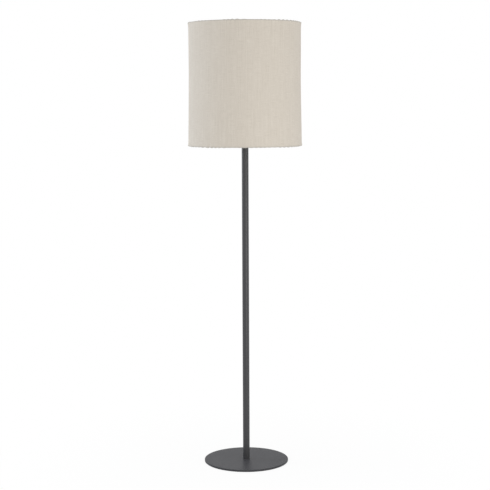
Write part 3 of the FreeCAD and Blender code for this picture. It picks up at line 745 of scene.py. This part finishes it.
class Wardrobe:
    """Makes each finish's material once, and dresses nodes and pieces in it."""

    def __init__(self) -> None:
        """Start with no material made."""
        self.made: dict[Surface, bpy.types.Material] = {}

    def material(self, surface: Surface) -> bpy.types.Material:
        """The material of a finish, made on its first use.

        Args:
            surface: The finish.

        Returns:
            Its material.
        """
        if surface not in self.made:
            self.made[surface] = surface.value.material()
        return self.made[surface]

    def dress_node(self, node: str, surface: Surface) -> None:
        """Put a finish on every material slot of a node of the frame.

        Args:
            node: The node's name.
            surface: The finish.
        """
        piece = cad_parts[node]
        for place in piece.material_slots:
            place.material = self.material(surface)
        if not piece.material_slots:
            piece.data.materials.append(self.material(surface))

    def dress_piece(self, piece: bpy.types.Object, surface: Surface) -> None:
        """Put a finish on a new piece.

        Args:
            piece: The piece.
            surface: The finish.
        """
        piece.data.materials.append(self.material(surface))


# ------------------------------------------------------------------ mesh building
def new_piece(name: str, points: Sequence[Vector],
              faces: Iterable[Sequence[int]]) -> bpy.types.Object:
    """Make a smooth-shaded mesh piece.

    Args:
        name: The piece's name.
        points: Its corners.
        faces: Each face's corner numbers.

    Returns:
        The piece.
    """
    mesh = bpy.data.meshes.new(name)
    mesh.from_pydata([tuple(point) for point in points], [], [tuple(face) for face in faces])
    mesh.validate()
    mesh.polygons.foreach_set("use_smooth", [True] * len(mesh.polygons))
    piece = bpy.data.objects.new(name, mesh)
    bpy.context.scene.collection.objects.link(piece)
    return piece


def ring_faces(columns: int, rows: int) -> list[tuple[int, int, int, int]]:
    """Faces of a grid that closes on itself both round the lamp and round its own section.

    Args:
        columns: How many sections go round the lamp.
        rows: How many points each section has.

    Returns:
        Four corner numbers for each face.
    """
    faces = []
    for column in range(columns):
        here = column * rows
        beside = (column + 1) % columns * rows
        for row in range(rows):
            above = (row + 1) % rows
            faces.append((here + row, beside + row, beside + above, here + above))
    return faces


def lift(height: float) -> Vector:
    """A step straight up."""
    return Vector((0.0, 0.0, height))


def noise_round(angle: float, reach: float, level: float) -> float:
    """Smooth noise about 0 that closes on itself round the lamp.

    Args:
        angle: The angle round the lamp.
        reach: The radius of the circle that the noise is read on: more gives more waves.
        level: The circle's height in the noise.

    Returns:
        The noise.
    """
    return noise.noise(Vector((math.cos(angle) * reach, math.sin(angle) * reach, level)))


# ------------------------------------------------------------------ the lamp
@dataclass
class Assembly:
    """One sub-assembly of the lamp, with the nodes that each finish goes on."""

    wardrobe: Wardrobe
    finishes: ClassVar[dict[Surface, tuple[str, ...]]] = {}

    def build(self) -> list[str]:
        """Dress the sub-assembly's nodes.

        Returns:
            The names of the dressed nodes.
        """
        dressed = []
        for surface, nodes in self.finishes.items():
            for node in nodes:
                self.wardrobe.dress_node(node, surface)
                dressed.append(node)
        return dressed


@dataclass
class Base(Assembly):
    """Round steel base on its foam pad."""

    finishes = {
        Surface.BASE: ("base_plate",),
        Surface.FOAM: ("floor_pad",),
        Surface.ZINC: ("base_screw", "foot_plug"),
    }


@dataclass
class Pole(Assembly):
    """Two steel tubes with what joins them, and the lead inside."""

    finishes = {
        Surface.POLE: ("lower_tube", "upper_tube", "top_plug"),
        Surface.ZINC: ("lower_insert", "upper_insert", "joint_stud"),
        Surface.RUBBER: ("cord_grommet",),
        Surface.SHEATH: ("inner_lead",),
    }


@dataclass
class LampHolder(Assembly):
    """Screw-thread lamp holder with its wiring, its rotary switch and the shade's collar."""

    finishes = {
        Surface.HOLDER: ("holder_cap", "holder_skirt", "shade_collar", "collar_washer"),
        Surface.ZINC: ("holder_nipple", "lock_washer", "nipple_nut", "grub_screw",
                       "terminal_screws", "switch_shaft"),
        Surface.BRASS: ("terminals", "centre_contact", "screw_shell", "switch_bush"),
        Surface.STEATITE: ("insert_disc",),
        Surface.BROWN_WIRE: ("live_wire",),
        Surface.BLUE_WIRE: ("neutral_wire",),
        Surface.KNOB: ("switch_rotor", "switch_knob"),
    }


@dataclass
class Bulb(Assembly):
    """Light bulb with a threaded cap."""

    finishes = {
        Surface.CAP_METAL: ("bulb_tip", "bulb_cap"),
        Surface.GLASSY_BLACK: ("bulb_insulator",),
        Surface.HOUSING: ("bulb_housing",),
        Surface.GLOBE: ("bulb_globe",),
        Surface.LIGHT_BOARD: ("led_board",),
        Surface.CHIP: ("led_chips",),
        Surface.DRIVER_BOARD: ("driver_board",),
        Surface.DRIVER_PART: ("driver_parts",),
    }


@dataclass(frozen=True)
class Strand:
    """One point of the section through the shade's wall."""

    radius: float
    height: float
    normal_out: float
    normal_up: float
    from_rim: float


@dataclass
class Weld:
    """Lumpy bead of weld round the end of an arm."""

    centre: Vector
    way: Vector
    seed: float
    radius: float = 2.0 * MM
    stretch: float = 1.5
    lump: float = 0.22
    lump_scale: float = 2.2
    rings: int = 10
    sides: int = 16

    def points(self) -> list[Vector]:
        """Place the bead's points, ring by ring from one end to the other.

        Returns:
            The points.
        """
        turned = self.way.to_track_quat("Z", "X")
        shift = Vector((self.seed, 0.0, 0.0))
        points = []
        for ring in range(self.rings + 1):
            polar = math.pi * ring / self.rings
            for side in range(self.sides):
                turn = 2 * math.pi * side / self.sides
                ball = Vector((math.sin(polar) * math.cos(turn), math.sin(polar) * math.sin(turn),
                               self.stretch * math.cos(polar)))
                swell = 1 + self.lump * noise.noise(ball * self.lump_scale + shift)
                points.append(self.centre + turned @ (ball * self.radius * swell))
        return points

    def faces(self, first: int) -> list[tuple[int, ...]]:
        """Join the rings.

        Args:
            first: The number of the bead's first point in its piece.

        Returns:
            Four corner numbers for each face.
        """
        faces = []
        for low in range(first, first + self.rings * self.sides, self.sides):
            high = low + self.sides
            for side in range(self.sides):
                beside = (side + 1) % self.sides
                faces.append((low + side, high + side, high + beside, low + beside))
        return faces


@dataclass
class Shade(Assembly):
    """Drum shade: linen on a stiff liner, rolled over a ring at each end."""

    finishes = {Surface.WIRE: ("top_ring", "bottom_ring", "spider_arms", "fitter_plate")}

    draw_in: float = 1.7 * MM
    rim_bulge: float = 0.7 * MM
    bulge_reach: float = 3.0 * MM
    cloth: float = 0.7 * MM
    sheet: float = 0.4 * MM
    wire: float = 1.6 * MM
    glue: float = 0.3 * MM
    liner_below_rim: float = 3.2 * MM
    sweep: float = math.radians(290)
    columns: int = 720
    wall_rows: int = 36
    roll_rows: int = 12
    pucker_count: int = 68
    pucker_depth: float = 1.7 * MM
    pucker_reach: float = 9.0 * MM
    pucker_mean: float = 0.6
    pucker_swing: float = 1.3
    pucker_patch: float = 3.1
    pucker_drift: float = 5.0
    drift_patch: float = 3.0
    drift_above: float = 7.0
    bottom_level: float = 12.0
    top_level: float = 52.0
    ripple: float = 0.5 * MM
    ripple_patch: float = 2.4
    ripple_rows: float = 9.0
    ripple_reach: float = 36.0 * MM
    seam_width: float = 13.0 * MM
    seam_step: float = 1.1 * MM
    seam_start: float = 0.35
    seam_edge: float = 0.0004
    arm_count: int = 3
    first_arm: float = 90.0
    weld_inset: float = 1.0 * MM
    weld_merge: float = 0.01 * MM
    weld_seeds: float = 10.0
    plate_seed: float = 3.0

    def __post_init__(self) -> None:
        """Take the two rings' places from the frame."""
        low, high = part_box("bottom_ring")
        self.bottom_radius = high.y - self.wire
        self.bottom_height = (low.z + high.z) / 2
        low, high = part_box("top_ring")
        self.top_radius = high.y - self.wire
        self.top_height = (low.z + high.z) / 2
        self.drop = self.top_height - self.bottom_height
        self.roll = self.wire + self.glue + self.cloth / 2

    def wall(self) -> list[Strand]:
        """Draw the middle line of the cloth's wall, with its points closest together at the rims.

        Returns:
            The line's points, from the top ring to the bottom one.
        """
        strands = []
        for step in range(self.wall_rows + 1):
            share = 0.5 - 0.5 * math.cos(math.pi * step / self.wall_rows)
            from_rim = min(share, 1 - share) * self.drop
            straight = self.top_radius + (self.bottom_radius - self.top_radius) * share + self.roll
            hollow = self.draw_in * 4 * share * (1 - share)
            neck = self.rim_bulge * (1 - math.exp(-from_rim / self.bulge_reach))
            height = self.top_height - self.drop * share
            strands.append(Strand(straight - hollow - neck, height, 1.0, 0.0, from_rim))
        return strands

    def rolled(self, radius: float, height: float, angles: Iterable[float]) -> list[Strand]:
        """Draw the cloth's middle line round one ring's wire.

        Args:
            radius: The ring's radius.
            height: The ring's height.
            angles: Where the points are, round the wire from its outermost side.

        Returns:
            The line's points.
        """
        return [Strand(radius + self.roll * math.cos(angle), height + self.roll * math.sin(angle),
                       math.cos(angle), math.sin(angle), 0.0) for angle in angles]

    def cloth_section(self) -> list[Strand]:
        """Draw the whole middle line of the cloth.

        Returns:
            The line's points, from the tuck under the top ring to the tuck over the bottom one.
        """
        turns = [self.sweep * step / self.roll_rows for step in range(1, self.roll_rows + 1)]
        top = self.rolled(self.top_radius, self.top_height, reversed(turns))
        bottom = self.rolled(self.bottom_radius, self.bottom_height, (-turn for turn in turns))
        return top + self.wall() + bottom

    def angles(self) -> list[float]:
        """List the angles of the sections, with a close pair where the seam's edge steps down.

        Returns:
            Angles round the shade, from the seam at the back.
        """
        even = [2 * math.pi * column / self.columns for column in range(self.columns)]
        edge = self.seam_width / self.bottom_radius
        return sorted(even + [edge - self.seam_edge, edge + self.seam_edge])

    def unevenness(self, angle: float, strand: Strand) -> float:
        """How far the cloth stands out at one place: puckers at the rims, and a slight ripple.

        Args:
            angle: The place's angle round the shade, from the seam.
            strand: The place in the section.

        Returns:
            The distance in metres.
        """
        lower = strand.height < self.bottom_height + self.drop / 2
        level = self.bottom_level if lower else self.top_level
        patch = noise_round(angle, self.pucker_patch, level)
        strength = max(0.0, self.pucker_mean + self.pucker_swing * patch)
        drift = self.pucker_drift * noise_round(angle, self.drift_patch, level + self.drift_above)
        wave = 0.5 + 0.5 * math.cos(angle * self.pucker_count + drift)
        fade = math.exp(-strand.from_rim / self.pucker_reach)
        ripple = noise_round(angle, self.ripple_patch, strand.height * self.ripple_rows)
        inward = 1 - math.exp(-strand.from_rim / self.ripple_reach)
        return wave * (self.pucker_depth * strength * fade) + self.ripple * ripple * inward

    def seam(self, angle: float) -> float:
        """How far the lapped end of the cloth stands out over the other end.

        Args:
            angle: The angle round the shade, from the seam.

        Returns:
            The distance in metres: 0 beyond the lap.
        """
        lap = angle * self.bottom_radius
        if lap > self.seam_width:
            return 0.0
        return self.seam_step * (self.seam_start + (1 - self.seam_start) * lap / self.seam_width)

    def round_lamp(self, name: str, strands: Sequence[Strand], outside: float, inside: float,
                   lapped: bool) -> bpy.types.Object:
        """Carry a section round the lamp as a closed sheet.

        Args:
            name: The piece's name.
            strands: The section's points.
            outside: How far the outer face stands out from them.
            inside: How far the inner face stands out from them.
            lapped: Whether the sheet's end laps over the other at the seam.

        Returns:
            The sheet, riding with the shade.
        """
        points = []
        angles = self.angles()
        for angle in angles:
            direction = Vector((-math.sin(angle), math.cos(angle), 0.0))
            lap = self.seam(angle) if lapped else 0.0
            faces = ([], [])
            for strand in strands:
                uneven = self.unevenness(angle, strand)
                for side, row in zip((outside + lap, inside), faces):
                    out = side + uneven
                    reach = strand.radius + strand.normal_out * out
                    row.append(direction * reach + lift(strand.height + strand.normal_up * out))
            points.extend(faces[0] + faces[1][::-1])
        piece = new_piece(name, points, ring_faces(len(angles), 2 * len(strands)))
        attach(piece, "shade")
        return piece

    def fabric(self) -> bpy.types.Object:
        """Build the linen cover with its thickness, rolled rims and back seam.

        Returns:
            The cover.
        """
        half = self.cloth / 2
        piece = self.round_lamp("shade_fabric", self.cloth_section(), half, -half, True)
        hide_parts("shade_cover")
        self.wardrobe.dress_piece(piece, Surface.LINEN)
        return piece

    def liner(self) -> bpy.types.Object:
        """Build the stiff sheet that the linen is glued to, just inside it.

        Returns:
            The liner.
        """
        strands = [strand for strand in self.wall() if strand.from_rim > self.liner_below_rim]
        outside = -self.cloth / 2 - self.glue / 2
        piece = self.round_lamp("shade_liner_sheet", strands, outside, outside - self.sheet, False)
        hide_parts("shade_liner")
        self.wardrobe.dress_piece(piece, Surface.LINER)
        return piece

    def beads(self) -> list[Weld]:
        """Find where each arm meets the bottom ring and the fitter plate.

        Returns:
            A bead for each of those places.
        """
        plate_low, plate_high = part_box("fitter_plate")
        beads = []
        for arm in range(self.arm_count):
            angle = math.radians(self.first_arm + 360 / self.arm_count * arm)
            outward = Vector((math.cos(angle), math.sin(angle), 0.0))
            sideways = Vector((-math.sin(angle), math.cos(angle), 0.0))
            at_ring = outward * (self.bottom_radius - self.wire)
            at_ring += lift(self.bottom_height + self.wire / 2)
            at_plate = outward * (plate_high.x - self.weld_inset)
            at_plate += lift(plate_low.z - self.wire / 2)
            seed = self.weld_seeds * arm
            beads.append(Weld(at_ring, sideways, seed))
            beads.append(Weld(at_plate, sideways, seed + self.plate_seed))
        return beads

    def welds(self) -> bpy.types.Object:
        """Build the beads of weld at the arms' ends as one piece.

        Returns:
            The piece.
        """
        points: list[Vector] = []
        faces: list[tuple[int, ...]] = []
        for bead in self.beads():
            faces += bead.faces(len(points))
            points += bead.points()
        piece = new_piece("arm_welds", points, faces)
        mesh = bmesh.new()
        mesh.from_mesh(piece.data)
        bmesh.ops.remove_doubles(mesh, verts=mesh.verts, dist=self.weld_merge)
        bmesh.ops.recalc_face_normals(mesh, faces=mesh.faces)
        mesh.to_mesh(piece.data)
        mesh.free()
        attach(piece, "shade")
        self.wardrobe.dress_piece(piece, Surface.WIRE)
        return piece

    def build(self) -> list[str]:
        """Build the cover, the liner and the welds, and dress the wire frame."""
        own = [piece.name for piece in (self.fabric(), self.liner(), self.welds())]
        return own + super().build()


# ------------------------------------------------------------------ the studio
@dataclass(frozen=True)
class SoftBox:
    """One soft light: where it hangs, how wide and high it is in metres, and its watts."""

    name: str
    place: tuple[float, float, float]
    size: tuple[float, float]
    power: float
    colour: Colour = WHITE

    def hang(self, aim: Vector) -> None:
        """Hang the light.

        Args:
            aim: The point that it faces.
        """
        data = bpy.data.lights.new(self.name, "AREA")
        data.shape = "RECTANGLE"
        data.size, data.size_y = self.size
        data.energy = self.power
        data.color = self.colour
        light = bpy.data.objects.new(self.name, data)
        light.location = self.place
        light.rotation_euler = (aim - Vector(self.place)).to_track_quat("-Z", "Y").to_euler()
        bpy.context.scene.collection.objects.link(light)


@dataclass
class Studio:
    """White floor, soft light and the camera at the photograph's place."""

    distance: float = 4.515
    eye_height: float = 1.288
    pitch: float = math.radians(6.39)
    roll: float = math.radians(-0.25)
    focal_pixels: float = 1282.0
    frame_pixels: float = 490.0
    sensor: float = 36.0
    aside_pixels: float = -0.5
    view_depth: float = 60.0
    floor_size: float = 14.0
    floor_colour: Colour = (0.88, 0.88, 0.88)
    floor_cloud: float = 0.99
    floor_cloud_scale: float = 2.0
    floor_roughness: float = 0.9
    floor_white: float = 0.9
    fade_start: float = 0.2
    fade_end: float = 0.9
    world_level: float = 0.8
    aim_height: float = 0.9
    boxes: tuple[SoftBox, ...] = (
        SoftBox("key_box", (0.97, -2.05, 0.5), (1.1, 1.1), 9.3, (1.0, 0.975, 0.91)),
        SoftBox("left_box", (-3.6, 0.8, 1.6), (1.4, 1.8), 41.0, (0.9, 0.99, 1.1)),
        SoftBox("back_box", (-0.4, 3.4, 2.4), (1.8, 1.8), 20.0),
        SoftBox("right_strip", (2.3, -2.2, 0.9), (0.14, 2.2), 10.0),
    )

    def camera(self) -> None:
        """Place the camera."""
        data = bpy.data.cameras.new("camera")
        data.sensor_width = self.sensor
        data.lens = self.focal_pixels / self.frame_pixels * self.sensor
        data.shift_x = self.aside_pixels / self.frame_pixels
        data.clip_end = self.view_depth
        camera = bpy.data.objects.new("camera", data)
        camera.location = (0.0, -self.distance, self.eye_height)
        camera.rotation_mode = "YXZ"
        camera.rotation_euler = (math.pi / 2 - self.pitch, 0.0, 0.0)
        camera.rotation_euler.rotate_axis("Z", self.roll)
        bpy.context.scene.collection.objects.link(camera)
        bpy.context.scene.camera = camera

    def world(self) -> None:
        """Light the room evenly, and show it white to the camera."""
        world = bpy.data.worlds.new("room")
        bpy.context.scene.world = world
        graph = Graph(world)
        light, seen = (graph.add("ShaderNodeBackground", {}, {"Color": WHITE, "Strength": level})
                       for level in (self.world_level, 1.0))
        room = graph.add("ShaderNodeMixShader", {}, {
            0: graph.seen_as_white(), 1: light.outputs[0], 2: seen.outputs[0]})
        graph.add("ShaderNodeOutputWorld", {}, {"Surface": room.outputs[0]})

    def floor_paint(self) -> Paint:
        """Write the floor's nodes: matt by the lamp, for its shadow, and white further out.

        Returns:
            The floor's paint.
        """
        paint = Paint("floor_white")
        x, y, z = paint.place()
        cloud = paint.grain(paint.point(x, y, z), scale=self.floor_cloud_scale)
        clouded = paint.blend(cloud, tinted(self.floor_colour, self.floor_cloud), self.floor_colour)
        paint.set(Base_Color=clouded, Roughness=self.floor_roughness, Specular_IOR_Level=0.0)
        white = paint.add("ShaderNodeEmission", {}, {"Color": WHITE, "Strength": 1.0})
        away = x.beside(y).step_between(self.fade_start, self.fade_end)
        fade = self.floor_white + (1 - self.floor_white) * away
        both = paint.add("ShaderNodeMixShader", {}, {
            0: paint.seen_as_white() * fade, 1: paint.shader.outputs[0], 2: white.outputs[0]})
        paint.feed(paint.output.inputs["Surface"], both.outputs[0])
        return paint

    def floor(self) -> None:
        """Lay the floor that the lamp stands on."""
        half = self.floor_size / 2
        ends = ((-half, -half), (half, -half), (half, half), (-half, half))
        corners = [Vector((x, y, 0.0)) for x, y in ends]
        piece = new_piece("floor", corners, [(0, 1, 2, 3)])
        piece.data.materials.append(self.floor_paint().material)

    def build(self) -> None:
        """Set up the whole studio."""
        bpy.context.scene.view_settings.view_transform = "Standard"
        self.camera()
        self.world()
        self.floor()
        for box in self.boxes:
            box.hang(lift(self.aim_height))


def main() -> None:
    """Build the studio and the lamp."""
    wardrobe = Wardrobe()
    Studio().build()
    LOG.info("Studio: built")
    for assembly in (Base, Pole, LampHolder, Shade, Bulb):
        for piece in assembly(wardrobe).build():
            LOG.info("%s: %s", assembly.__name__, piece)


if __name__ == "__main__":
    main()
